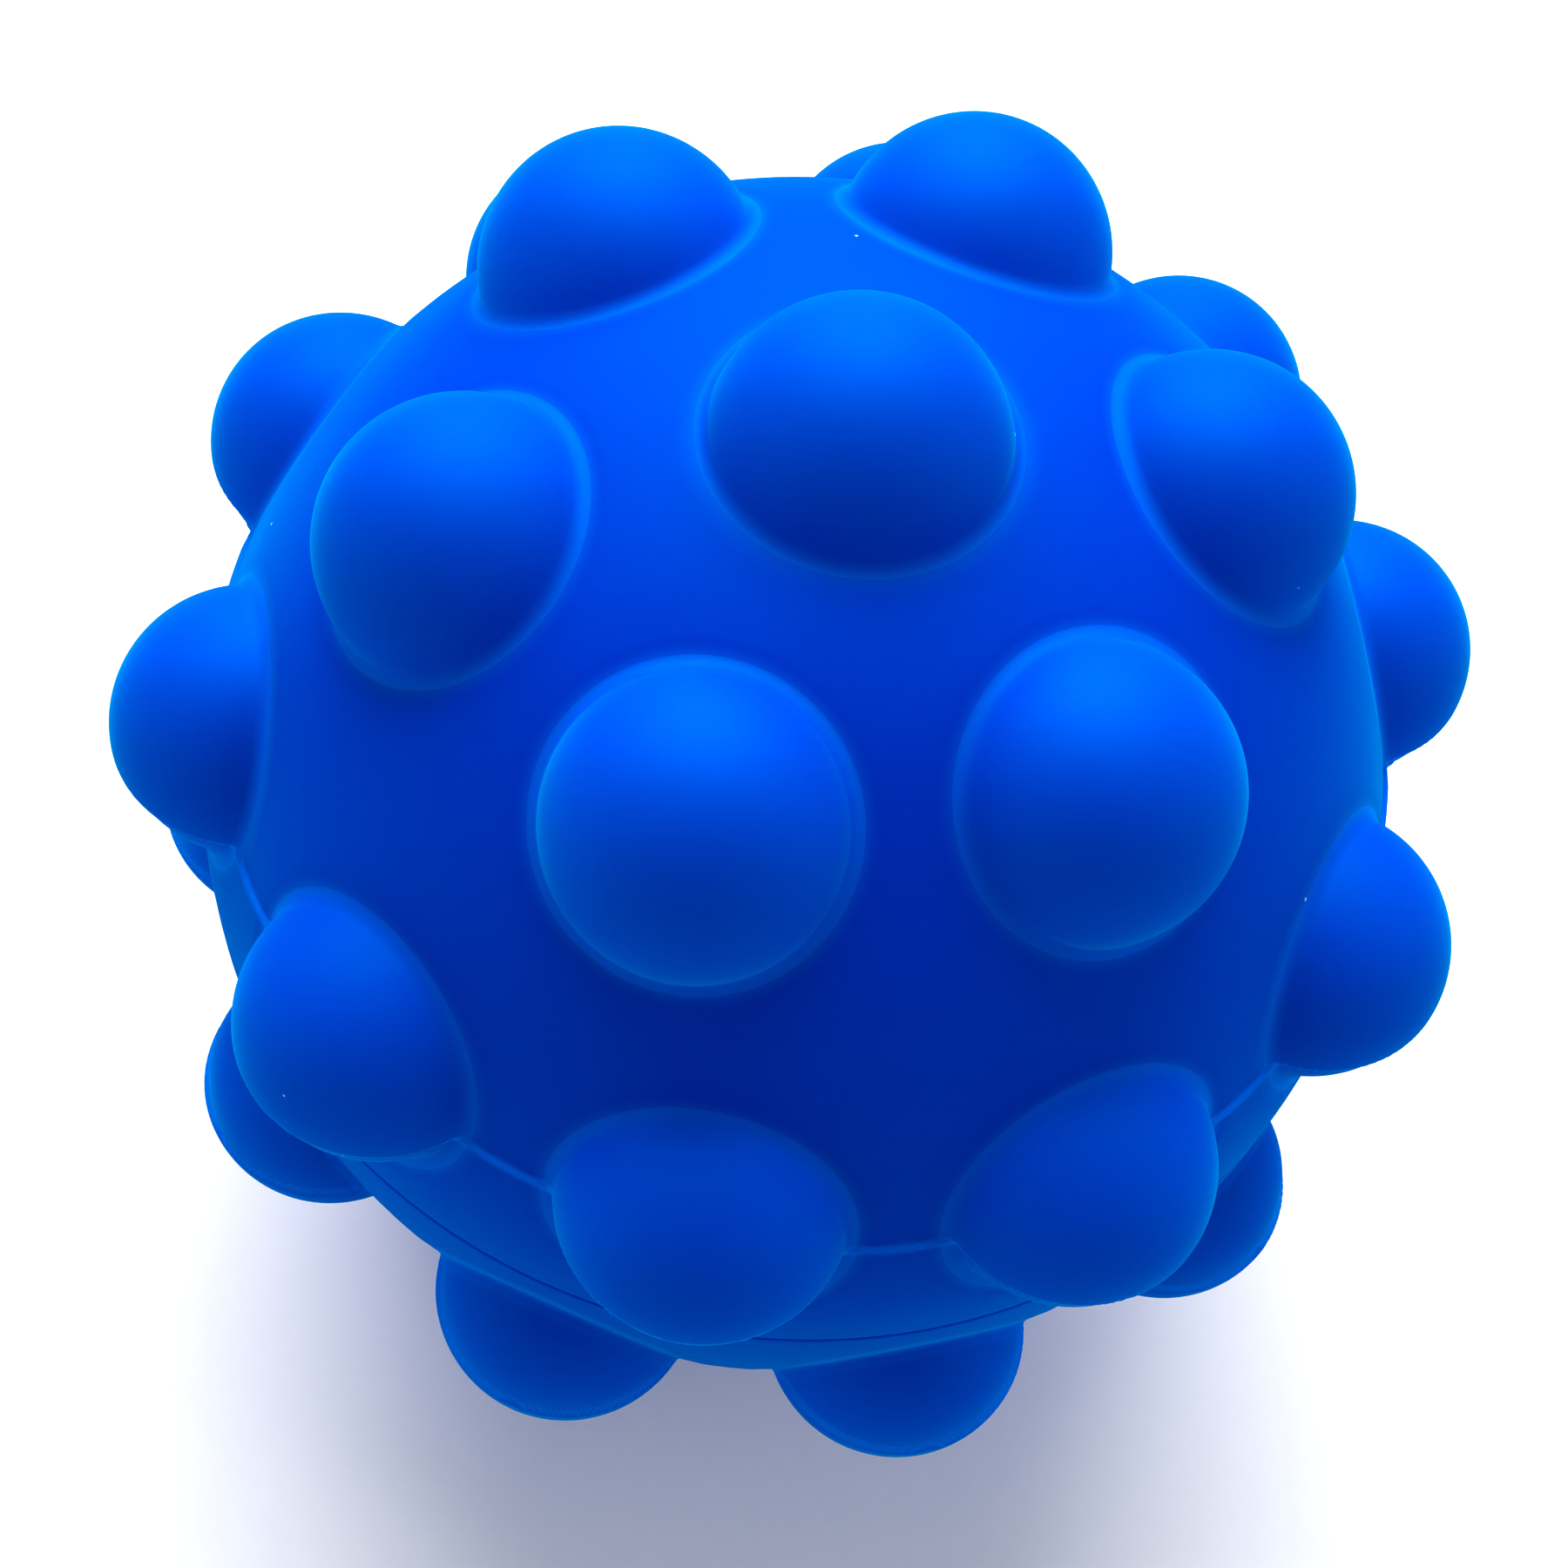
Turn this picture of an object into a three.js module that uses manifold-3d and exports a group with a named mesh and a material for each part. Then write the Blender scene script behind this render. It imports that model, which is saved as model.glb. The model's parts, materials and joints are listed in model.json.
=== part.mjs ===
// Pop-bubble stress ball: two moulded silicone halves joined at the equator, each carrying one pole bubble,
// an inner ring and an outer ring of bubbles that push through the wall one by one.
// Millimetres, +Z through the pole bubbles, origin at the centre of the ball, outer bubble number 1 towards -Y.

import * as THREE from 'three';
import { mergeVertices } from 'three/addons/utils/BufferGeometryUtils.js';
import Module from 'manifold-3d';

const wasm = await Module();
wasm.setup();

// ---------------------------------------------------------------- driving dimensions
const BODY_RADIUS = 30.2; // outside of each hemispherical half
const WALL = 2.0; // of the halves
const BELT_HEIGHT = 2.0; // straight stretch between the two hemispheres' centres
const SKIRT_RISE = 0.25; // the skirt by the seam stands this far proud of the hemisphere

const BUBBLE_BASE_RADIUS = 6.7; // where a bubble meets the floor of its moat
const BUBBLE_HEIGHT = 6.55; // crown above that base
const BUBBLE_WALL = 1.3;
const MOAT_WIDTH = 0.8; // shallow groove round each bubble
const MOAT_DEPTH = 0.6; // below the hemisphere, measured at the bubble's base
const CROWN_FLAT_RADIUS = 1.2; // small flat on top of each crown

const COLLAR_THICKNESS = 1.5; // at its base, of the bubble's lower wall, which stays on the half
const COLLAR_LAND = 0.4; // width left at the collar's top edge
const CROWN_OVERLAP = 1.0; // the crown's edge hangs this far inside the collar
const CLEARANCE = 0.3; // between pieces

const INNER_RING_COUNT = 6;
const INNER_RING_ANGLE = 36.3; // degrees from the pole
const INNER_RING_TURN = -11.5; // degrees, against the outer ring
const OUTER_RING_COUNT = 10;
const OUTER_RING_ANGLE = 73.0; // also the latitude of the skirt's edge
const HALF_TURN = 23.5; // degrees, lower half's outer ring against the upper half's

const SEAM_GAP = 0.3; // between the two rims
const RIM_HEIGHT = 2.6; // thickened rim at the seam, from the seam plane
const RIM_THICKNESS = 4.0;
const GROOVE_WIDTH = 1.8; // in the upper rim
const GROOVE_DEPTH = 1.9; // into the rim, from the seam plane
const GROOVE_INSET = 1.0; // from the hemisphere's outside
const BEAD_HEIGHT = 0.6; // adhesive between the tongue and the groove's floor

// ---------------------------------------------------------------- fineness of the facets
const BODY_SIDES = 36;
const BUBBLE_SIDES = 16;
const MERGE_TOLERANCE = 1e-4; // mm, points closer than this are one
const BODY_STEPS = 7; // along the hemisphere, pole to skirt
const SKIRT_STEPS = 1;
const DOME_STEPS = 3; // along the outside of a crown, and one step along its inside

// ---------------------------------------------------------------- values worked out from them
const radians = THREE.MathUtils.degToRad;
const innerRadius = BODY_RADIUS - WALL;
const hemisphereCentre = BELT_HEIGHT / 2;
const floorRadius = BODY_RADIUS - MOAT_DEPTH;
const baseDistance = Math.sqrt(floorRadius ** 2 - BUBBLE_BASE_RADIUS ** 2);
const domeRadius = (BUBBLE_BASE_RADIUS ** 2 + BUBBLE_HEIGHT ** 2) / (2 * BUBBLE_HEIGHT);
const domeCentre = baseDistance + BUBBLE_HEIGHT - domeRadius;
const boreRadius = BUBBLE_BASE_RADIUS - COLLAR_THICKNESS;
const crownRadius = boreRadius - CLEARANCE;
const collarTop = domeCentre + Math.sqrt(domeRadius ** 2 - (boreRadius + COLLAR_LAND) ** 2);
const collarFoot = Math.sqrt(innerRadius ** 2 - boreRadius ** 2);
const grooveOutside = BODY_RADIUS - GROOVE_INSET;
const grooveInside = grooveOutside - GROOVE_WIDTH;
const rimInside = BODY_RADIUS - RIM_THICKNESS;
const beadTop = GROOVE_DEPTH - CLEARANCE;
const beadFoot = beadTop - BEAD_HEIGHT;
const tongueHeight = beadFoot - CLEARANCE;

const silicone = {
  halves: { color: 0x0046d8, roughness: 0.62, metalness: 0 },
  bubbles: { color: 0x0050e0, roughness: 0.6, metalness: 0 },
  adhesive: { color: 0x9fb6d8, roughness: 0.5, metalness: 0 },
};

// ---------------------------------------------------------------- helpers
// A closed outline of [radius, height] points, turned about +Z.
function turned(outline, sides) {
  const points = outline.map(([radius, height]) => new THREE.Vector2(radius, height));
  const geometry = new THREE.LatheGeometry(points, sides);
  geometry.rotateX(Math.PI / 2);
  return geometry;
}

// Points on a circle round [0, centre], by angle in radians from +Z.
function arc(radius, centre, from, to, steps) {
  const points = [];
  for (let i = 0; i <= steps; i += 1) {
    const angle = from + ((to - from) * i) / steps;
    points.push([radius * Math.sin(angle), centre + radius * Math.cos(angle)]);
  }
  return points;
}

function solid(geometry) {
  const bare = geometry.clone();
  bare.deleteAttribute('normal');
  bare.deleteAttribute('uv');
  const merged = mergeVertices(bare, MERGE_TOLERANCE);
  const mesh = new wasm.Mesh({
    numProp: 3,
    vertProperties: Float32Array.from(merged.attributes.position.array),
    triVerts: Uint32Array.from(merged.index.array),
  });
  return new wasm.Manifold(mesh);
}

function geometryOf(manifold) {
  const mesh = manifold.getMesh();
  const geometry = new THREE.BufferGeometry();
  geometry.setAttribute('position', new THREE.BufferAttribute(mesh.vertProperties, 3));
  geometry.setIndex(new THREE.BufferAttribute(mesh.triVerts, 1));
  geometry.computeVertexNormals();
  return geometry;
}

function piece(name, geometry, finish) {
  const mesh = new THREE.Mesh(geometry, new THREE.MeshStandardMaterial(finish));
  mesh.name = name;
  return mesh;
}

// ---------------------------------------------------------------- where the bubbles stand
// Each place is a name and the turn that carries +Z, from the hemisphere's centre, onto the bubble's axis.
function bubblePlaces() {
  const places = [{ name: 'pole_bubble', polar: 0, azimuth: 0 }];
  for (let i = 0; i < INNER_RING_COUNT; i += 1) {
    const azimuth = -90 + INNER_RING_TURN + (360 * i) / INNER_RING_COUNT;
    places.push({ name: `inner_bubble_${i + 1}`, polar: INNER_RING_ANGLE, azimuth });
  }
  for (let i = 0; i < OUTER_RING_COUNT; i += 1) {
    const azimuth = -90 + (360 * i) / OUTER_RING_COUNT;
    places.push({ name: `outer_bubble_${i + 1}`, polar: OUTER_RING_ANGLE, azimuth });
  }
  return places;
}

function placement({ polar, azimuth }) {
  const turn = new THREE.Euler(0, radians(polar), radians(azimuth), 'ZYX');
  const matrix = new THREE.Matrix4().makeRotationFromEuler(turn);
  return matrix.setPosition(0, 0, hemisphereCentre);
}

// ---------------------------------------------------------------- the pieces
// One half: a hemispherical wall with a proud skirt, a thick rim, and a collar and a bore for every bubble.
// Collars stop at the rim, so that its groove or tongue stays free of them.
function halfWall(rimOutline) {
  const edge = radians(OUTER_RING_ANGLE);
  const skirtRadius = BODY_RADIUS + SKIRT_RISE;
  const innerEdge = Math.acos((RIM_HEIGHT - hemisphereCentre) / innerRadius);
  const outline = [
    ...arc(BODY_RADIUS, hemisphereCentre, 0, edge, BODY_STEPS),
    ...arc(skirtRadius, hemisphereCentre, edge, Math.PI / 2, SKIRT_STEPS),
    [skirtRadius, SEAM_GAP / 2],
    ...rimOutline,
    [rimInside, SEAM_GAP / 2],
    [rimInside, RIM_HEIGHT],
    ...arc(innerRadius, hemisphereCentre, innerEdge, 0, BODY_STEPS),
  ];
  return turned(outline.reverse(), BODY_SIDES);
}

// The bubble's lower wall, filled, from the half's inside face up to the collar's top.
function collarPlug() {
  const from = Math.acos((collarTop - domeCentre) / domeRadius);
  const to = Math.acos((baseDistance - domeCentre) / domeRadius);
  const outline = [
    [0, collarTop],
    ...arc(domeRadius, domeCentre, from, to, 1),
    [BUBBLE_BASE_RADIUS, collarFoot],
    [0, collarFoot],
  ];
  return turned(outline.reverse(), BUBBLE_SIDES);
}

function cylinder(radius, from, to) {
  return turned([[0, from], [radius, from], [radius, to], [0, to]], BUBBLE_SIDES);
}

function halfShell(rimOutline) {
  const beyond = domeRadius * 2;
  const wall = solid(halfWall(rimOutline));
  const moat = cylinder(BUBBLE_BASE_RADIUS + MOAT_WIDTH, baseDistance, baseDistance + beyond);
  const bore = cylinder(boreRadius, baseDistance - beyond, baseDistance + beyond);
  const rimZone = solid(cylinder(BODY_RADIUS * 2, -RIM_HEIGHT, RIM_HEIGHT));
  let shell = wall;
  for (const place of bubblePlaces()) {
    shell = shell.subtract(solid(moat.clone().applyMatrix4(placement(place))));
  }
  for (const place of bubblePlaces()) {
    const plug = solid(collarPlug().applyMatrix4(placement(place)));
    shell = shell.add(plug.subtract(rimZone));
  }
  for (const place of bubblePlaces()) {
    shell = shell.subtract(solid(bore.clone().applyMatrix4(placement(place))));
  }
  return geometryOf(shell);
}

// The crown that travels: a thin domed cap with a short straight edge inside the collar.
function crown() {
  const outerEdge = Math.asin(crownRadius / domeRadius);
  const flatEdge = Math.asin(CROWN_FLAT_RADIUS / domeRadius);
  const flatHeight = domeCentre + domeRadius * Math.cos(flatEdge);
  const insideRadius = domeRadius - BUBBLE_WALL;
  const insideEdge = Math.asin((crownRadius - BUBBLE_WALL) / insideRadius);
  const foot = collarTop - CROWN_OVERLAP;
  const outline = [
    [0, flatHeight],
    ...arc(domeRadius, domeCentre, flatEdge, outerEdge, DOME_STEPS),
    [crownRadius, foot],
    [crownRadius - BUBBLE_WALL, foot],
    ...arc(insideRadius, domeCentre, insideEdge, 0, 1),
  ];
  return turned(outline.reverse(), BUBBLE_SIDES);
}

function bondBead() {
  const outside = grooveOutside - CLEARANCE;
  const inside = grooveInside + CLEARANCE;
  const outline = [
    [inside, beadFoot],
    [outside, beadFoot],
    [outside, beadTop],
    [inside, beadTop],
    [inside, beadFoot],
  ];
  return turned(outline, BODY_SIDES);
}

// Groove in the upper rim, tongue on the lower rim, both as the outline runs inwards along the seam.
const grooveOutline = [
  [grooveOutside, SEAM_GAP / 2],
  [grooveOutside, GROOVE_DEPTH],
  [grooveInside, GROOVE_DEPTH],
  [grooveInside, SEAM_GAP / 2],
];
const tongueOutline = [
  [grooveOutside - CLEARANCE, SEAM_GAP / 2],
  [grooveOutside - CLEARANCE, -tongueHeight],
  [grooveInside + CLEARANCE, -tongueHeight],
  [grooveInside + CLEARANCE, SEAM_GAP / 2],
];

function half(prefix, rimOutline) {
  const group = new THREE.Group();
  group.add(piece(`${prefix}_half`, halfShell(rimOutline), silicone.halves));
  for (const place of bubblePlaces()) {
    const bubble = piece(`${prefix}_${place.name}`, crown(), silicone.bubbles);
    placement(place).decompose(bubble.position, bubble.quaternion, bubble.scale);
    group.add(bubble);
  }
  return group;
}

// ---------------------------------------------------------------- the ball
const upper = half('upper', grooveOutline);
const lower = half('lower', tongueOutline);
lower.rotation.set(Math.PI, 0, radians(HALF_TURN), 'ZYX');

const ball = new THREE.Group();
ball.add(upper, lower, piece('bond_bead', bondBead(), silicone.adhesive));

export default ball;
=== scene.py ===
"""Looks of the pop-bubble stress ball: two halves, their bubbles, the bead in the seam and the stage."""

import json
import math

import bpy
import numpy as np
from bpy.props import FloatProperty, FloatVectorProperty, IntProperty, PointerProperty
from bpy.types import Operator, Panel, PropertyGroup
from mathutils import Matrix, Vector
from mathutils.geometry import delaunay_2d_cdt


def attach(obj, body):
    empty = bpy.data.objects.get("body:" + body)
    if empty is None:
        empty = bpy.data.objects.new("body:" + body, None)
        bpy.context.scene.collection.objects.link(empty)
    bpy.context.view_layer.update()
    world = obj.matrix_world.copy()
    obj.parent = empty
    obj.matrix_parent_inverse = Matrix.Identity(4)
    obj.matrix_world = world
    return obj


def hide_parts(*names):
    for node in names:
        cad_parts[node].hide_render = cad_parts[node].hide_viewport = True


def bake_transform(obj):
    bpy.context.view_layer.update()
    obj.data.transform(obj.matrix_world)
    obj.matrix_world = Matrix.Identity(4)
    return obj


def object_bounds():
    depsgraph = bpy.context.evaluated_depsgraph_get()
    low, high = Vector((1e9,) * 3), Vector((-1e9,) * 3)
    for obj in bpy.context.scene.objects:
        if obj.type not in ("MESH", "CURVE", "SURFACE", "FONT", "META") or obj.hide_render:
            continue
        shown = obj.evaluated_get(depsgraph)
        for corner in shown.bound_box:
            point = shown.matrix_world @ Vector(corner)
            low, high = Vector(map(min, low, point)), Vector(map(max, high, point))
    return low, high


bl_info = {
    "name": "Pop-Bubble Ball",
    "version": (1, 0, 0),
    "blender": (4, 5, 0),
    "location": "3D View > Sidebar > Pop Ball",
    "description": "Builds the silicone halves and bubbles of a pop-bubble stress ball round its frame",
    "category": "Object",
}

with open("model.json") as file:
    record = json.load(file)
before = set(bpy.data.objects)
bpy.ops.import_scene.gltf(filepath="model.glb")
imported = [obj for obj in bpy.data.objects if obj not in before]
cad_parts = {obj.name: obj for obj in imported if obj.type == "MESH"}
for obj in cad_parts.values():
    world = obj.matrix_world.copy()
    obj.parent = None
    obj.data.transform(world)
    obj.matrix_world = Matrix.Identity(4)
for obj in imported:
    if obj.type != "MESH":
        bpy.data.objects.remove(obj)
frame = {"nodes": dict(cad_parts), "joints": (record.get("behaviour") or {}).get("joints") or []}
CAD_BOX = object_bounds()
ROOT = "ball"
MM = 0.001


# ---------------------------------------------------------------- what the frame says
def node_points(name):
    return np.array([v.co for v in frame["nodes"][name].data.vertices], float)


def bubble_axes(half):
    """Outward unit axis of each bubble of one half, by the bubble's name without the half's."""
    axes = {}
    for joint in frame["joints"]:
        if joint["child"].startswith(half + "_"):
            axes[joint["child"][len(half) + 1:]] = -np.array(joint["axis"], float)
    return axes


def hemisphere_centre():
    """Height of the upper hemisphere's centre: where an outer bubble's axis meets the ball's own."""
    axis = bubble_axes("upper")["outer_bubble_1"]
    middle = node_points("upper_outer_bubble_1").mean(axis=0)
    along = middle[:2] @ axis[:2] / (axis[:2] @ axis[:2])
    return float(middle[2] - along * axis[2])


def rim_radius():
    points = node_points("upper_half")
    low = points[points[:, 2] < points[:, 2].min() + 0.05 * MM]
    return float(np.hypot(low[:, 0], low[:, 1]).max())


def crown_distance():
    points = node_points("upper_pole_bubble")
    return float(points[:, 2].max()) - CENTRE


CENTRE = hemisphere_centre()
RIM_RADIUS = rim_radius()
CROWN_DISTANCE = crown_distance()
UPPER_AXES = bubble_axes("upper")
LOWER_AXES = bubble_axes("lower")
OUTER_RING_POLAR = math.acos(UPPER_AXES["outer_bubble_1"][2])
LOWER_TURN = math.atan2(LOWER_AXES["outer_bubble_1"][1], LOWER_AXES["outer_bubble_1"][0]) - math.pi / 2
LOWER_PLACE = np.array(Matrix.Rotation(LOWER_TURN, 3, "Z") @ Matrix.Rotation(math.pi, 3, "X"))
LEVEL_CROWDING = 0.4  # how strongly mesh points gather where the skirt's edge meets an outer bubble
PAINTED_RING_GLOW = 0.24  # strength of the painted glow: how much paler the silicone is painted in the fold round a bubble, standing in for light there
# Where the painted glow round each bubble and the painted highlights along the skirt's step and the outer
# bubbles' parting line lie, and how wide they are
PAINTED_RING_GLOW_RADIUS = 7.1 * MM
PAINTED_RING_GLOW_WIDTH = 0.4 * MM
PAINTED_STEP_HIGHLIGHT_WIDTH = 0.15 * MM
PAINTED_PARTING_HIGHLIGHT_OFFSET, PAINTED_PARTING_HIGHLIGHT_WIDTH = 0.04 * MM, 0.17 * MM
FOLD_HEIGHT = 1.5 * MM  # above a dome's base, where its fillet and foot end
FOOT_BAND = 0.9 * MM  # round a dome's foot, where it takes up the skirt's step
FILLET_STEPS = 10
LIP_SHARES = (0.0, 0.07, 0.16, 0.27, 0.38, 0.5, 0.62, 0.74, 0.86, 1.0)
STEP_ROWS = (-0.4, -0.18, -0.1, -0.03, 0.03, 0.1, 0.18, 0.4)
BUBBLE_PAINTED_GLOW = 0.2  # painted glow: how much paler the bubbles are painted than the halves, standing in for light coming through the thin domes


# ---------------------------------------------------------------- sizes and colours
def length(name, description, millimetres):
    default = millimetres * MM
    return FloatProperty(name=name, description=description, default=default, unit="LENGTH", precision=5)


def angle(name, description, degrees):
    return FloatProperty(name=name, description=description, default=math.radians(degrees), unit="ROTATION")


def share(name, description, value):
    settings = {"default": value, "min": 0.0, "max": 1.0, "subtype": "FACTOR"}
    return FloatProperty(name=name, description=description, **settings)


def colour(name, description, rgb):
    settings = {"default": rgb, "size": 3, "min": 0, "max": 1, "subtype": "COLOR"}
    return FloatVectorProperty(name=name, description=description, **settings)


class PopBallHalfSizes(PropertyGroup):
    skirt_rise: length("Skirt rise", "How far the skirt by the seam stands proud", 0.25)
    wall: length("Wall", "Thickness of a half", 2.0)
    step_width: length("Step width", "Over which the skirt rises", 0.22)
    seam_round: length("Seam rounding", "Radius of the rims' outer edges at the seam", 0.24)
    seam_gap: length("Seam gap", "Between the two rims", 0.03)
    moat_depth: length("Moat depth", "Of the shallow moat round a bubble, where the bubble joins", 0.05)
    lip_radius: length("Lip radius", "Where the moat round a bubble ends, from the bubble's axis", 8.0)
    spacing: length("Point spacing", "Between mesh points on the plain wall", 0.8)
    rim_sides: IntProperty(name="Rim sides", description="Mesh points round the rim", default=360)


class PopBallBubbleSizes(PropertyGroup):
    base_radius: length("Base radius", "Of the dome, at the floor of its moat", 6.7)
    height: length("Height", "Crown above the dome's base", 6.55)
    fillet: length("Fillet", "Between the dome and the moat's floor", 0.8)
    skin: length("Skin", "Thickness of the dome, thin enough to turn inside out", 0.35)
    foot: length("Foot", "Depth of the bubble's foot in the half's wall", 0.6)
    parting_drop: length("Parting drop", "How far an outer bubble's seam side is set back", 0.3)
    parting_width: length("Parting width", "Over which that step falls", 0.25)
    sides: IntProperty(name="Sides", description="Mesh points round a bubble", default=132)
    rings: IntProperty(name="Rings", description="Mesh rings from the crown to the fillet", default=44)


class PopBallFinish(PropertyGroup):
    deep_blue: colour("Deep blue", "Main colour of the silicone", (0.0, 0.006, 0.46))
    # this paler blue is mixed in by the clouds as the silicone's own uneven tone, and by the marks and the
    # lift as painted glow and painted highlights
    pale_blue_and_painted_light: colour("Light blue", "Colour where the silicone is stretched or thin", (0.0, 0.17, 0.8))
    bloom: colour("Bloom", "Tint of the soft surface sheen", (0.0, 0.52, 0.62))
    lint: colour("Lint", "Colour of the few dust specks", (0.35, 0.6, 0.9))
    adhesive: colour("Adhesive", "Colour of the bead in the seam", (0.35, 0.45, 0.6))
    roughness: share("Roughness", "Of the matte silicone", 0.55)
    sheen: share("Sheen", "Strength of the soft surface sheen", 0.6)
    gloss: share("Gloss", "Share of the light that the surface's bloom returns", 0.12)


class PopBallStage(PropertyGroup):
    elevation: angle("Elevation", "Of the camera over the seam's plane", 61.0)
    azimuth: angle("Azimuth", "Of the camera, from -Y towards +X", 0.36)
    roll: angle("Roll", "Of the camera about its own axis", 11.44)
    distance: length("Distance", "From the camera to the ball's centre", 138.0)
    focal: FloatProperty(name="Focal length", description="Of the camera, in millimetres", default=59.9)
    shift_x: FloatProperty(name="Shift X", description="Of the camera's frame", default=-0.0055)
    shift_y: FloatProperty(name="Shift Y", description="Of the camera's frame", default=-0.0057)
    floor: colour("Floor", "Colour of the floor", (0.9, 0.9, 0.9))


# ---------------------------------------------------------------- small tools
def smooth(t):
    t = np.clip(t, 0.0, 1.0)
    return t * t * (3.0 - 2.0 * t)


def cross_frame(axis):
    """Two unit vectors square to axis, the first of them level."""
    side = np.cross([0.0, 0.0, 1.0], axis)
    if np.linalg.norm(side) < 1e-6:
        side = np.array([1.0, 0.0, 0.0])
    side /= np.linalg.norm(side)
    return side, np.cross(axis, side)


def ring_directions(axis, sides):
    """Unit vectors round axis and square to it, crowded near level for a bubble of the outer ring."""
    side, other = cross_frame(axis)
    turn = np.arange(sides) * 2 * math.pi / sides
    if axis[2] < math.cos(OUTER_RING_POLAR) + 0.01:
        turn = turn - LEVEL_CROWDING * np.sin(2 * turn)
    return np.cos(turn)[:, None] * side + np.sin(turn)[:, None] * other


def make_mesh(name, points, faces, material, marks=None):
    mesh = bpy.data.meshes.new(name)
    mesh.from_pydata(points.tolist(), [], faces)
    mesh.validate()
    mesh.polygons.foreach_set("use_smooth", [True] * len(mesh.polygons))
    mesh.set_sharp_from_angle(angle=math.radians(38))
    if marks is not None:
        # the marks carry painted light, painted glow in the folds and painted highlights along the steps,
        # which the silicone reads as paleness
        attribute = mesh.attributes.new("edge_mark", "FLOAT", "POINT")
        attribute.data.foreach_set("value", marks.astype(np.float32))
    mesh.materials.append(material)
    mesh.update()
    obj = bpy.data.objects.new(name, mesh)
    bpy.context.scene.collection.objects.link(obj)
    return obj


def bridge(first, second):
    """Quads between two loops of as many points, facing out where first runs left of second."""
    count = len(first)
    return [(first[i], second[i], second[(i + 1) % count], first[(i + 1) % count]) for i in range(count)]


class Dome:
    """The circle arcs of one bubble's outside, which run into the half at the moat without a crease.

    Heights are above the dome's base, along the bubble's axis; off is the distance from that axis.
    """

    def __init__(self, bubbles, sizes):
        base, height = bubbles.base_radius, bubbles.height
        self.base = CROWN_DISTANCE - height
        self.fillet = bubbles.fillet
        self.radius = (base ** 2 + height ** 2) / (2 * height)
        self.centre = height - self.radius
        self.moat_floor = RIM_RADIUS - sizes.skirt_rise - sizes.moat_depth
        span, hub_radius = self.radius + self.fillet, self.moat_floor + self.fillet
        apart = self.base + self.centre
        along = (hub_radius ** 2 - span ** 2 + apart ** 2) / (2 * apart)
        self.reach, self.hub_height = math.sqrt(hub_radius ** 2 - along ** 2), along - self.base
        self.last = math.atan2(self.reach, self.hub_height - self.centre)
        self.foot_tilt = math.atan2(self.reach, along)
        self.joint = self.moat_floor * math.sin(self.foot_tilt)
        self.foot = self.moat_floor * math.cos(self.foot_tilt) - self.base
        self.parting_polar = math.acos(apart * math.cos(OUTER_RING_POLAR) / (RIM_RADIUS - sizes.skirt_rise))


def skirt_rise(along, sizes):
    """How proud the skirt stands, by distance along the plain wall past the edge of the skirt."""
    return sizes.skirt_rise * smooth(along / sizes.step_width + 0.5)


# ---------------------------------------------------------------- shader maths
class Sock:
    """A shader socket that can be added, subtracted and multiplied as a number."""

    def __init__(self, paint, socket):
        self.paint = paint
        self.socket = socket

    def _math(self, operation, *values, clamp=False):
        sockets = {i: v for i, v in enumerate(values)}
        return self.paint.node("ShaderNodeMath", {"operation": operation, "use_clamp": clamp}, sockets)

    def __add__(self, other):
        return self._math("ADD", self, other)

    __radd__ = __add__

    def __mul__(self, other):
        return self._math("MULTIPLY", self, other)

    def __sub__(self, other):
        return self._math("SUBTRACT", self, other)

    def clamp(self):
        return self._math("ADD", self, 0.0, clamp=True)


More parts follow.
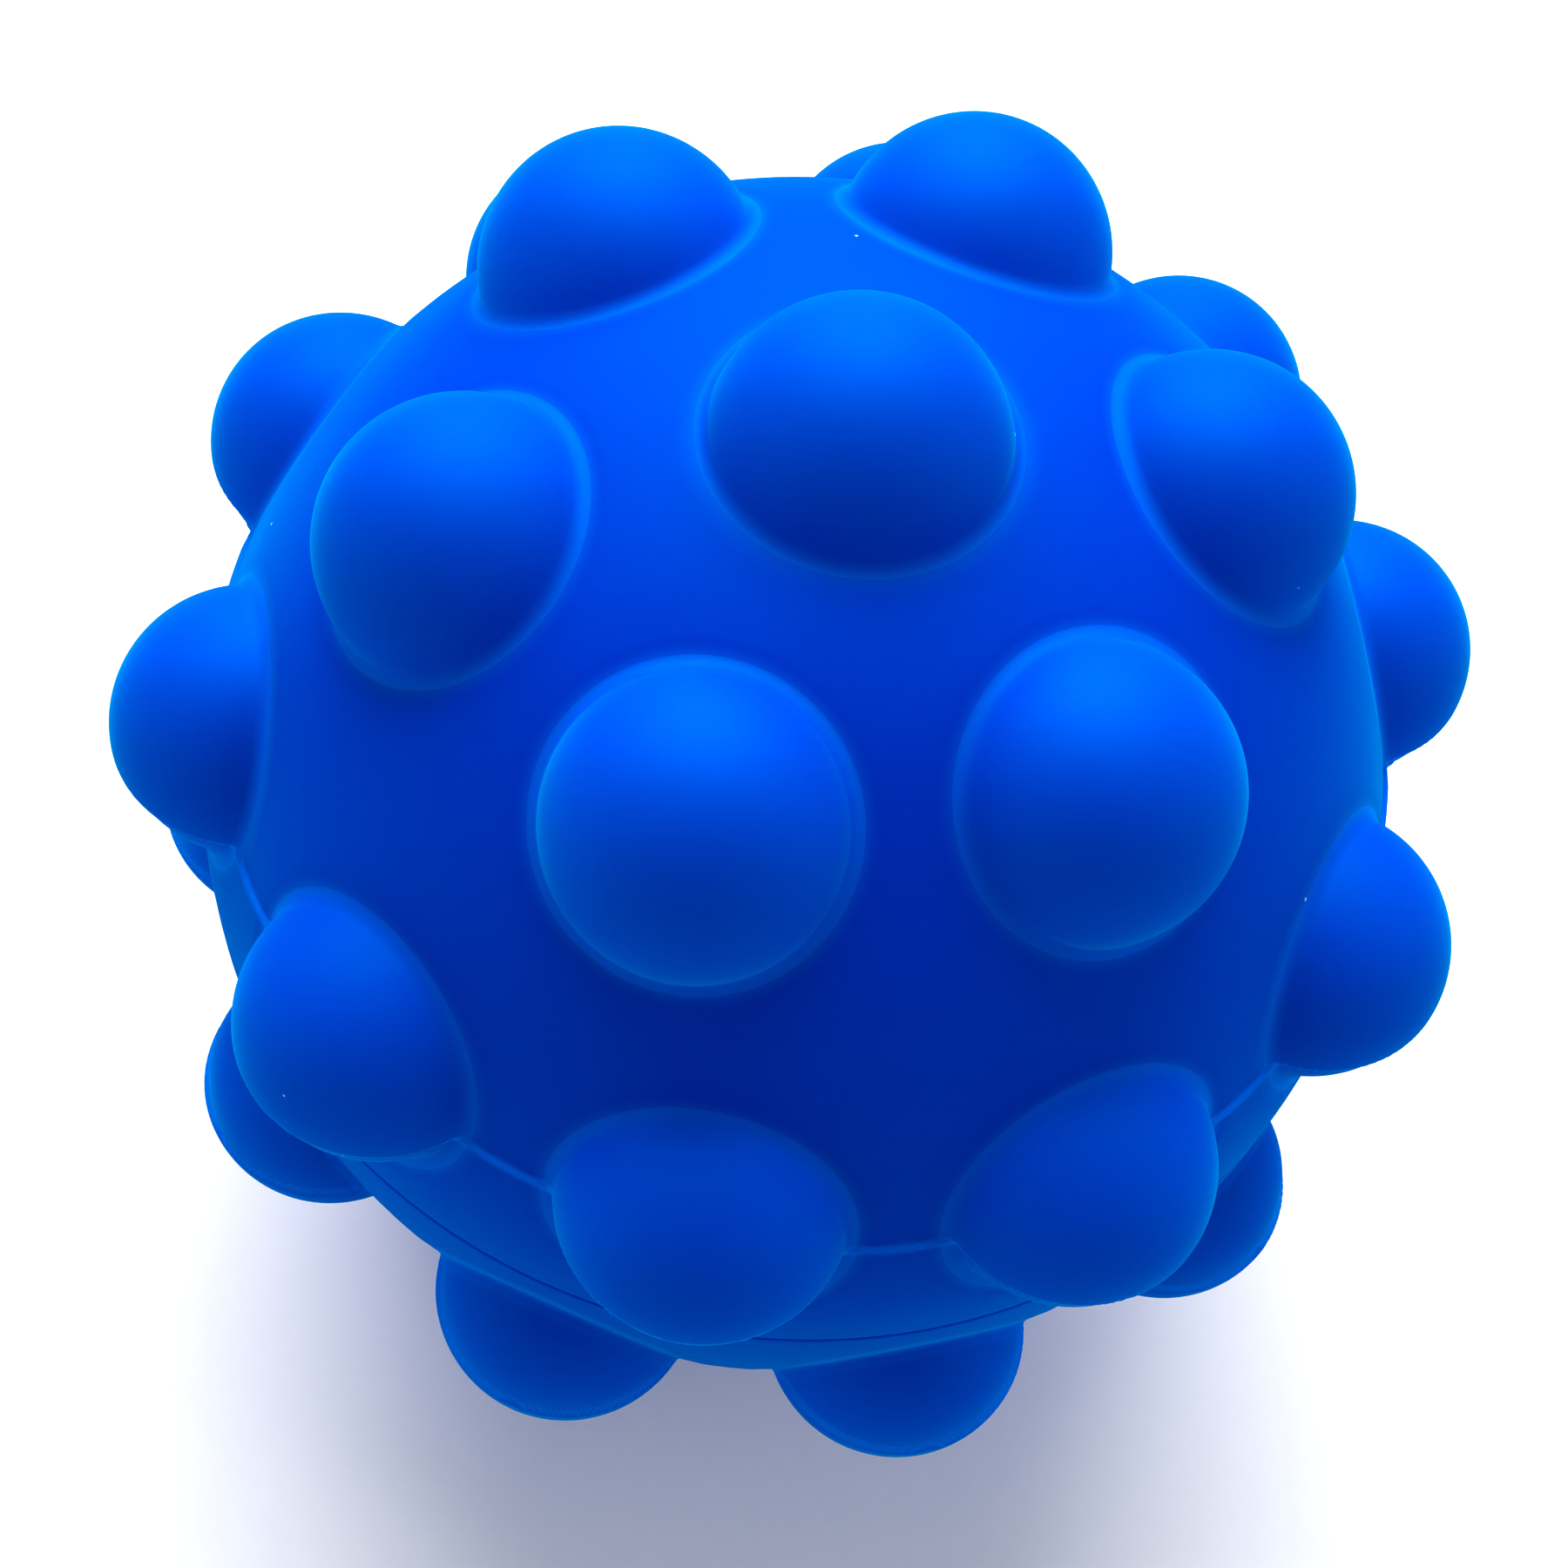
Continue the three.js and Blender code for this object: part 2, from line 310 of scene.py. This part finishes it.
class Paint:
    """One material and the nodes in it."""

    def __init__(self, name):
        self.material = bpy.data.materials.new(name)
        self.material.use_nodes = True
        self.tree = self.material.node_tree
        self.tree.nodes.clear()
        self.place = self.node("ShaderNodeTexCoord", {}, {}, "Object")

    def node(self, kind, settings, sockets, output=0):
        made = self.tree.nodes.new(kind)
        for key, value in settings.items():
            if key == "stops":
                self._stops(made.color_ramp, value)
            else:
                setattr(made, key, value)
        for key, value in sockets.items():
            if isinstance(value, Sock):
                self.tree.links.new(value.socket, made.inputs[key])
            else:
                made.inputs[key].default_value = value
        if not made.outputs:
            return made
        return Sock(self, made.outputs[output])

    @staticmethod
    def _stops(ramp, stops):
        while len(ramp.elements) < len(stops):
            ramp.elements.new(0.5)
        for element, (position, value) in zip(ramp.elements, stops):
            element.position = position
            element.color = (value, value, value, 1.0)

    def noise(self, scale, detail=3.0, roughness=0.5):
        sockets = {"Vector": self.place, "Scale": scale, "Detail": detail, "Roughness": roughness}
        return self.node("ShaderNodeTexNoise", {"noise_dimensions": "3D"}, sockets, "Fac")

    def ramp(self, value, stops):
        return self.node("ShaderNodeValToRGB", {"stops": stops}, {"Fac": value})

    def mark(self, name):
        return self.node("ShaderNodeAttribute", {"attribute_name": name}, {}, "Fac")

    def mix(self, factor, first, second):
        settings = {"data_type": "RGBA", "blend_type": "MIX"}
        first, second = (v if isinstance(v, Sock) else (*v, 1.0) for v in (first, second))
        return self.node("ShaderNodeMix", settings, {0: factor, 6: first, 7: second}, 2)

    def bump(self, height, strength, distance, normal=None):
        sockets = {"Height": height, "Strength": strength, "Distance": distance}
        if normal is not None:
            sockets["Normal"] = normal
        return self.node("ShaderNodeBump", {}, sockets)

    def specks(self, scale, size):
        """1 inside a few tiny spots, 0 elsewhere."""
        settings = {"feature": "F1", "voronoi_dimensions": "3D"}
        sockets = {"Vector": self.place, "Scale": scale}
        cells = self.node("ShaderNodeTexVoronoi", settings, sockets, "Distance")
        return self.ramp(cells, [(size * 0.8, 1.0), (size, 0.0)])

    def principled(self, **sockets):
        named = {key.replace("_", " "): value for key, value in sockets.items()}
        return self.node("ShaderNodeBsdfPrincipled", {}, named)

    def blend(self, factor, first, second):
        return self.node("ShaderNodeMixShader", {}, {0: factor, 1: first, 2: second})

    def finish(self, shader):
        self.node("ShaderNodeOutputMaterial", {}, {"Surface": shader})
        return self.material


def silicone(name, finish, lift):
    """Matte blue silicone: deep blue under a soft cyan bloom, with moulded grain, specks of lint, a random
    cloudy tone and painted light: a paler painted glow in folds and on the bubbles and painted highlights
    along steps.
    """
    paint = Paint(name)
    clouds = paint.noise(55.0, 4.0)
    grain = paint.noise(2600.0, 2.0)
    ripple = paint.noise(260.0, 3.0)
    # painted light: the marks and the lift make the silicone paler as painted glow in folds and on the
    # bubbles and painted highlights along steps; the clouds add its own uneven tone
    edge = paint.mark("edge_mark")
    tone_and_painted_light = (paint.ramp(clouds, [(0.35, 0.0), (0.75, 0.03)]) + edge + lift).clamp()
    lint = paint.specks(180.0, 0.018)
    body = paint.mix(lint, paint.mix(tone_and_painted_light, finish.deep_blue, finish.pale_blue_and_painted_light), finish.lint)
    roughness = finish.roughness + (clouds - 0.5) * 0.16 + edge * 0.06
    soft = paint.bump(ripple, 0.2, 0.0002)
    normal = paint.bump(grain, 0.15, 0.00003, soft)
    depth = paint.principled(
        Base_Color=body,
        Roughness=roughness,
        Normal=normal,
        Specular_IOR_Level=0.0,
        Subsurface_Weight=0.15,
        Subsurface_Radius=(0.05, 0.3, 1.0),
        Subsurface_Scale=0.0012,
        Sheen_Weight=finish.sheen,
        Sheen_Roughness=0.4,
        Sheen_Tint=(*finish.bloom, 1.0),
    )
    gloss = paint.principled(
        Base_Color=(*finish.bloom, 1.0),
        Metallic=1.0,
        Roughness=roughness + 0.15,
        Normal=normal,
        Specular_Tint=(*finish.bloom, 1.0),
    )
    return paint.finish(paint.blend(finish.gloss, depth, gloss))


def adhesive(finish):
    paint = Paint("adhesive")
    clouds = paint.noise(700.0, 3.0)
    body = paint.mix(clouds, finish.adhesive, tuple(c * 1.25 for c in finish.adhesive))
    normal = paint.bump(clouds, 0.4, 0.0001)
    return paint.finish(paint.principled(Base_Color=body, Roughness=0.35 + clouds * 0.2, Normal=normal))


# ---------------------------------------------------------------- the halves
class HalfSurface:
    """The outside of the upper half over a flat chart: distance from the pole along the wall, and azimuth."""

    def __init__(self, sizes, bubbles):
        self.sizes = sizes
        self.sides = bubbles.sides
        self.dome = Dome(bubbles, sizes)
        self.radius = RIM_RADIUS - sizes.skirt_rise
        self.joint = self.radius * math.sin(self.dome.foot_tilt)
        self.equator = self.radius * math.pi / 2
        self.step = self.radius * self.dome.parting_polar
        self.end = self.equator + CENTRE - sizes.seam_gap / 2
        self.axes = np.array(list(UPPER_AXES.values()))
        self.chart = []
        self.loops = []

    def directions(self, chart):
        along = np.hypot(chart[:, 0], chart[:, 1])
        azimuth = np.arctan2(chart[:, 1], chart[:, 0])
        polar = np.minimum(along, self.equator) / self.radius
        parts = np.sin(polar) * np.cos(azimuth), np.sin(polar) * np.sin(azimuth), np.cos(polar)
        return along, np.stack(parts, axis=1)

    def chart_of(self, directions):
        along = np.arccos(np.clip(directions[:, 2], -1, 1)) * self.radius
        azimuth = np.arctan2(directions[:, 1], directions[:, 0])
        return np.stack([along * np.cos(azimuth), along * np.sin(azimuth)], axis=1)

    def off_axis(self, directions):
        """Distance from the nearest bubble's axis, on the plain sphere."""
        cosine = (directions @ self.axes.T).max(axis=1)
        return self.radius * np.sqrt(np.maximum(1 - cosine * cosine, 0))

    def outside(self, chart):
        sizes = self.sizes
        along, directions = self.directions(chart)
        off = self.off_axis(directions)
        lip = smooth((off - self.joint) / (sizes.lip_radius - self.joint))
        reach = self.radius - sizes.moat_depth * (1 - lip) + skirt_rise(along - self.step, sizes)
        below = np.clip(sizes.seam_round - (self.end - along), 0, sizes.seam_round)
        reach -= sizes.seam_round - np.sqrt(sizes.seam_round ** 2 - below ** 2)
        return self.placed(along, directions, reach), self.painted_light_marks(along, off)

    def inside(self, chart):
        along, directions = self.directions(chart)
        return self.placed(along, directions, np.full(len(along), self.radius - self.sizes.wall))

    def placed(self, along, directions, reach):
        points = directions * reach[:, None]
        points[:, 2] += CENTRE - np.maximum(along - self.equator, 0)
        return points

    def painted_light_marks(self, along, off):
        """Painted light: a paler painted glow in the fold round each bubble and a painted highlight along the
        skirt's step.
        """
        # painted highlight along the skirt's step, standing in for light caught by its ledge
        step = np.exp(-((along - self.step) / PAINTED_STEP_HIGHLIGHT_WIDTH) ** 2)
        return np.clip(PAINTED_RING_GLOW * painted_ring_glow(off) + step, 0, 1)

    def add_bubble_rings(self):
        """Rings of points round each bubble, from its joint out over the lip."""
        lateral = [self.joint + (self.sizes.lip_radius - self.joint) * t for t in LIP_SHARES]
        for axis in self.axes:
            around = ring_directions(axis, self.sides)
            for index, distance in enumerate(lateral):
                tilt = math.asin(distance / self.radius)
                ring = self.chart_of(math.cos(tilt) * axis + math.sin(tilt) * around)
                if index == 0:
                    first = sum(len(c) for c in self.chart)
                    self.loops.append(list(range(first, first + len(ring))))
                self.chart.append(ring)

    def add_row(self, along, count, clear, phase=0.0):
        """A row of points at one distance from the pole, save those within clear of a bubble's axis."""
        azimuth = (np.arange(count) + phase) * 2 * math.pi / count
        row = np.stack([along * np.cos(azimuth), along * np.sin(azimuth)], axis=1)
        if clear:
            _, directions = self.directions(row)
            row = row[self.off_axis(directions) > clear]
        self.chart.append(row)

    def add_rows(self):
        sizes = self.sizes
        clear = sizes.lip_radius + 0.55 * MM
        rows = int(self.equator / sizes.spacing)
        for index in range(1, rows):
            along = index * sizes.spacing
            if abs(along - self.step) < 0.55 * MM or self.equator - along < 0.5 * sizes.spacing:
                continue
            count = int(2 * math.pi * math.sin(along / self.radius) * self.radius / sizes.spacing)
            self.add_row(along, max(count, 6), clear, 0.5 * (index % 2))
        for offset in STEP_ROWS:
            self.add_row(self.step + offset * MM, sizes.rim_sides, sizes.lip_radius + 0.1 * MM)
        for share_left in (1.0, 0.7, 0.45):
            self.add_row(self.end - share_left * (self.end - self.equator), sizes.rim_sides, 0.0)
        for degrees in (0, 18, 36, 54, 72, 90):
            back = sizes.seam_round * (1 - math.sin(math.radians(degrees)) * 0.999)
            self.add_row(self.end - back, sizes.rim_sides, 0.0)
        last = sum(len(c) for c in self.chart)
        self.loops.append(list(range(last - sizes.rim_sides, last)))

    def build(self):
        """Points, faces and painted-light marks of the closed half: outside, inside and the walls between."""
        self.add_bubble_rings()
        self.add_rows()
        chart = np.concatenate(self.chart)
        flat = [Vector(p) for p in (chart * 1000.0).tolist()]
        count = len(chart)
        _, _, triangles, origin, _, _ = delaunay_2d_cdt(flat, [], [], 0, 1e-7, True)
        first = [ids[0] if ids else -1 for ids in origin]
        ring_of = np.full(count, -1)
        for index, loop in enumerate(self.loops[:-1]):
            ring_of[loop] = index
        kept = []
        for triangle in triangles:
            corners = tuple(first[i] for i in triangle)
            rings = {int(ring_of[c]) for c in corners}
            if len(rings) == 1 and -1 not in rings:
                continue
            kept.append(corners)
        outer, marks = self.outside(chart)
        points = np.concatenate([outer, self.inside(chart)])
        faces = kept + [tuple(c + count for c in reversed(corners)) for corners in kept]
        for loop in self.loops[:-1]:
            faces += bridge(loop, [c + count for c in loop])
        rim = self.loops[-1]
        faces += bridge([c + count for c in rim], rim)
        return points, faces, np.concatenate([marks, np.zeros(count)])


class POPBALL_OT_halves(Operator):
    """Build the upper and the lower half with their moats, skirts and rims"""

    bl_idname = "popball.halves"
    bl_label = "Halves"

    def execute(self, context):
        scene = context.scene
        surface = HalfSurface(scene.popball_half, scene.popball_bubble)
        points, faces, marks = surface.build()
        material = silicone("half_silicone", scene.popball_finish, 0.0)
        for half, place in (("upper", np.eye(3)), ("lower", LOWER_PLACE)):
            obj = make_mesh(f"{half}_half_skin", points @ place.T, faces, material, marks)
            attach(obj, ROOT)
            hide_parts(f"{half}_half")
        return {"FINISHED"}


# ---------------------------------------------------------------- the bubbles
def dome_profile(bubbles, dome):
    """(distance from axis, height above the base) down the outside and up the inside."""
    outside = []
    for index in range(1, bubbles.rings + 1):
        tilt = dome.last * index / bubbles.rings
        outside.append((dome.radius * math.sin(tilt), dome.centre + dome.radius * math.cos(tilt)))
    for index in range(1, FILLET_STEPS + 1):
        tilt = math.pi + dome.last + (dome.foot_tilt - dome.last) * index / FILLET_STEPS
        off = dome.reach + dome.fillet * math.sin(tilt)
        outside.append((off, dome.hub_height + dome.fillet * math.cos(tilt)))
    inner = dome.radius - bubbles.skin
    foot = dome.foot - bubbles.foot
    inside = [(dome.joint - 0.2 * MM, foot)]
    rings = bubbles.rings // 2
    for index in range(rings, 0, -1):
        tilt = math.acos((foot - dome.centre) / inner) * index / rings
        inside.append((inner * math.sin(tilt), dome.centre + inner * math.cos(tilt)))
    return outside, inside, dome.centre + inner


def painted_ring_glow(off):
    """Painted glow: 1 in the moat round a bubble, fading to both sides, by distance from the bubble's axis.
    """
    return np.exp(-((off - PAINTED_RING_GLOW_RADIUS) / PAINTED_RING_GLOW_WIDTH) ** 2)


def dome_mesh(bubbles, sizes, axis, parting):
    """Points, faces and painted-light marks of one bubble about axis, in the upper half's place."""
    dome = Dome(bubbles, sizes)
    outside, inside, inner_crown = dome_profile(bubbles, dome)
    hub = np.array([0.0, 0.0, CENTRE])
    middle = hub + axis * (dome.base + dome.centre)
    around = ring_directions(axis, bubbles.sides)
    rings = [hub + axis * (dome.base + height) + around * off for off, height in outside + inside]
    tips = [hub + axis * (dome.base + height) for height in (bubbles.height, inner_crown)]
    points = np.concatenate([*rings, tips])
    heights = (points - hub) @ axis - dome.base
    off = np.linalg.norm(points - hub - ((points - hub) @ axis)[:, None] * axis, axis=1)
    # painted glow in the fold round the bubble's foot
    marks = PAINTED_RING_GLOW * painted_ring_glow(off) * (heights < FOLD_HEIGHT)
    if parting:
        normals = (points - middle) / np.linalg.norm(points - middle, axis=1)[:, None]
        below = -dome.radius * np.arcsin(np.clip(normals[:, 2], -1, 1))
        rays = points - hub
        reach = np.linalg.norm(rays, axis=1)
        along = dome.moat_floor * (np.arccos(np.clip(rays[:, 2] / reach, -1, 1)) - dome.parting_polar)
        foot = smooth((off - dome.joint + FOOT_BAND) / FOOT_BAND) * (heights < FOLD_HEIGHT)
        drop = bubbles.parting_drop * smooth(below / bubbles.parting_width + 0.5) * (1 - foot)
        points -= normals * drop[:, None]
        points += rays * (skirt_rise(along, sizes) * foot / reach)[:, None]
        # painted highlights along the outer bubble's parting step and, at its foot, along the skirt's step
        marks += np.exp(-((below - PAINTED_PARTING_HIGHLIGHT_OFFSET) / PAINTED_PARTING_HIGHLIGHT_WIDTH) ** 2) * (1 - foot)
        marks += np.exp(-(along / PAINTED_STEP_HIGHLIGHT_WIDTH) ** 2) * foot
    count = bubbles.sides
    loops = [list(range(i * count, (i + 1) * count)) for i in range(len(rings))]
    faces = []
    for first, second in zip(loops, loops[1:]):
        faces += bridge(first, second)
    crown_index, inner_index = len(points) - 2, len(points) - 1
    faces += [(crown_index, loops[0][i], loops[0][(i + 1) % count]) for i in range(count)]
    faces += [(inner_index, loops[-1][(i + 1) % count], loops[-1][i]) for i in range(count)]
    return points, faces, np.clip(marks, 0, 1)


class POPBALL_OT_bubbles(Operator):
    """Build every bubble as a thin dome between its half and its own crown"""

    bl_idname = "popball.bubbles"
    bl_label = "Bubbles"

    def execute(self, context):
        scene = context.scene
        bubbles = scene.popball_bubble
        material = silicone("bubble_silicone", scene.popball_finish, BUBBLE_PAINTED_GLOW)
        centre = np.array([0.0, 0.0, CENTRE])
        sizes = scene.popball_half
        dome = Dome(bubbles, sizes)
        foot_distance = dome.base + dome.foot + sizes.skirt_rise + 0.05 * MM
        for half, place in (("upper", np.eye(3)), ("lower", LOWER_PLACE)):
            for bubble, axis in UPPER_AXES.items():
                node = f"{half}_{bubble}"
                points, faces, marks = dome_mesh(bubbles, sizes, axis, bubble.startswith("outer"))
                obj = make_mesh(f"{node}_skin", points @ place.T, faces, material, marks)
                start = place @ (centre + axis * foot_distance)
                end = place @ (centre + axis * CROWN_DISTANCE)
                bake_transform(obj)
                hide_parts(node)
        return {"FINISHED"}


class POPBALL_OT_bond_bead(Operator):
    """Give the adhesive bead in the seam its finish"""

    bl_idname = "popball.bond_bead"
    bl_label = "Bond bead"

    def execute(self, context):
        bead = frame["nodes"]["bond_bead"]
        bead.data.materials.clear()
        bead.data.materials.append(adhesive(context.scene.popball_finish))
        return {"FINISHED"}


# ---------------------------------------------------------------- the stage
def area_light(name, direction, distance, size, power, tint=(1.0, 1.0, 1.0)):
    data = bpy.data.lights.new(name, "AREA")
    data.shape = "DISK"
    data.size = size
    data.energy = power
    data.color = tint
    lamp = bpy.data.objects.new(name, data)
    bpy.context.scene.collection.objects.link(lamp)
    away = Vector(direction).normalized()
    lamp.location = away * distance
    lamp.rotation_euler = away.to_track_quat("Z", "Y").to_euler()


class POPBALL_OT_stage(Operator):
    """Set the floor, the soft lights and the camera"""

    bl_idname = "popball.stage"
    bl_label = "Stage"

    def execute(self, context):
        scene = context.scene
        stage = scene.popball_stage
        self.floor(stage)
        self.camera(scene, stage)
        self.lights(scene, stage)
        scene.view_settings.view_transform = "Standard"
        scene.view_settings.look = "High Contrast"
        return {"FINISHED"}

    @staticmethod
    def floor(stage):
        half = 3.0
        low = CAD_BOX[0][2]
        mesh = bpy.data.meshes.new("floor")
        corners = [(-half, -half, low), (half, -half, low), (half, half, low), (-half, half, low)]
        mesh.from_pydata(corners, [], [(0, 1, 2, 3)])
        paint = Paint("floor_paper")
        fibre = paint.noise(900.0, 4.0)
        tone = paint.mix(fibre, stage.floor, tuple(c * 0.97 for c in stage.floor))
        paper = paint.principled(Base_Color=tone, Roughness=0.9, Specular_IOR_Level=0.1)
        mesh.materials.append(paint.finish(paper))
        floor = bpy.data.objects.new("floor", mesh)
        bpy.context.scene.collection.objects.link(floor)

    @staticmethod
    def axes(stage):
        """The camera's own right, up and backward directions."""
        lift, turn, roll = stage.elevation, stage.azimuth, stage.roll
        back = Vector((math.cos(lift) * math.sin(turn), -math.cos(lift) * math.cos(turn), math.sin(lift)))
        level = Vector((math.cos(turn), math.sin(turn), 0.0))
        upright = back.cross(level)
        right = level * math.cos(roll) + upright * math.sin(roll)
        up = upright * math.cos(roll) - level * math.sin(roll)
        return right, up, back

    def camera(self, scene, stage):
        data = bpy.data.cameras.new("camera")
        data.lens = stage.focal
        data.sensor_width = 36.0
        data.shift_x = stage.shift_x
        data.shift_y = stage.shift_y
        data.clip_start = 0.005
        right, up, back = self.axes(stage)
        turned = Matrix((right, up, back)).transposed().to_4x4()
        camera = bpy.data.objects.new("camera", data)
        scene.collection.objects.link(camera)
        camera.matrix_world = Matrix.Translation(back * stage.distance) @ turned
        scene.camera = camera

    def lights(self, scene, stage):
        right, up, back = self.axes(stage)
        cool = (0.82, 0.9, 1.0)
        area_light("key_light", Vector((-0.17, 0.66, 0.74)), 0.42, 0.5, 3.0)
        area_light("left_light", right * -1.0 - up * 0.1 + back * 0.4, 0.8, 0.8, 1.3, cool)
        area_light("right_light", right + back * 0.4, 0.8, 0.8, 1.45, cool)
        world = bpy.data.worlds.new("studio")
        world.use_nodes = True
        backdrop = world.node_tree.nodes["Background"]
        backdrop.inputs["Color"].default_value = (1.0, 1.0, 1.0, 1.0)
        backdrop.inputs["Strength"].default_value = 0.33
        scene.world = world


class POPBALL_PT_panel(Panel):
    """Steps and sizes of the pop-bubble ball"""

    bl_idname = "POPBALL_PT_panel"
    bl_label = "Pop-Bubble Ball"
    bl_space_type = "VIEW_3D"
    bl_region_type = "UI"
    bl_category = "Pop Ball"

    def draw(self, context):
        layout = self.layout
        for step in STEPS:
            layout.operator(step.bl_idname)
        for group in ("popball_half", "popball_bubble", "popball_finish", "popball_stage"):
            box = layout.box()
            settings = getattr(context.scene, group)
            for key in settings.__annotations__:
                box.prop(settings, key)


GROUPS = {
    "popball_half": PopBallHalfSizes,
    "popball_bubble": PopBallBubbleSizes,
    "popball_finish": PopBallFinish,
    "popball_stage": PopBallStage,
}
STEPS = (POPBALL_OT_stage, POPBALL_OT_halves, POPBALL_OT_bubbles, POPBALL_OT_bond_bead)


def register():
    for cls in (*GROUPS.values(), *STEPS, POPBALL_PT_panel):
        bpy.utils.register_class(cls)
    for name, cls in GROUPS.items():
        setattr(bpy.types.Scene, name, PointerProperty(type=cls))


def unregister():
    for name in GROUPS:
        delattr(bpy.types.Scene, name)
    for cls in (POPBALL_PT_panel, *reversed(STEPS), *reversed(GROUPS.values())):
        bpy.utils.unregister_class(cls)


def main():
    register()
    bpy.ops.popball.stage()
    bpy.ops.popball.halves()
    bpy.ops.popball.bubbles()
    bpy.ops.popball.bond_bead()


if __name__ == "__main__":
    main()
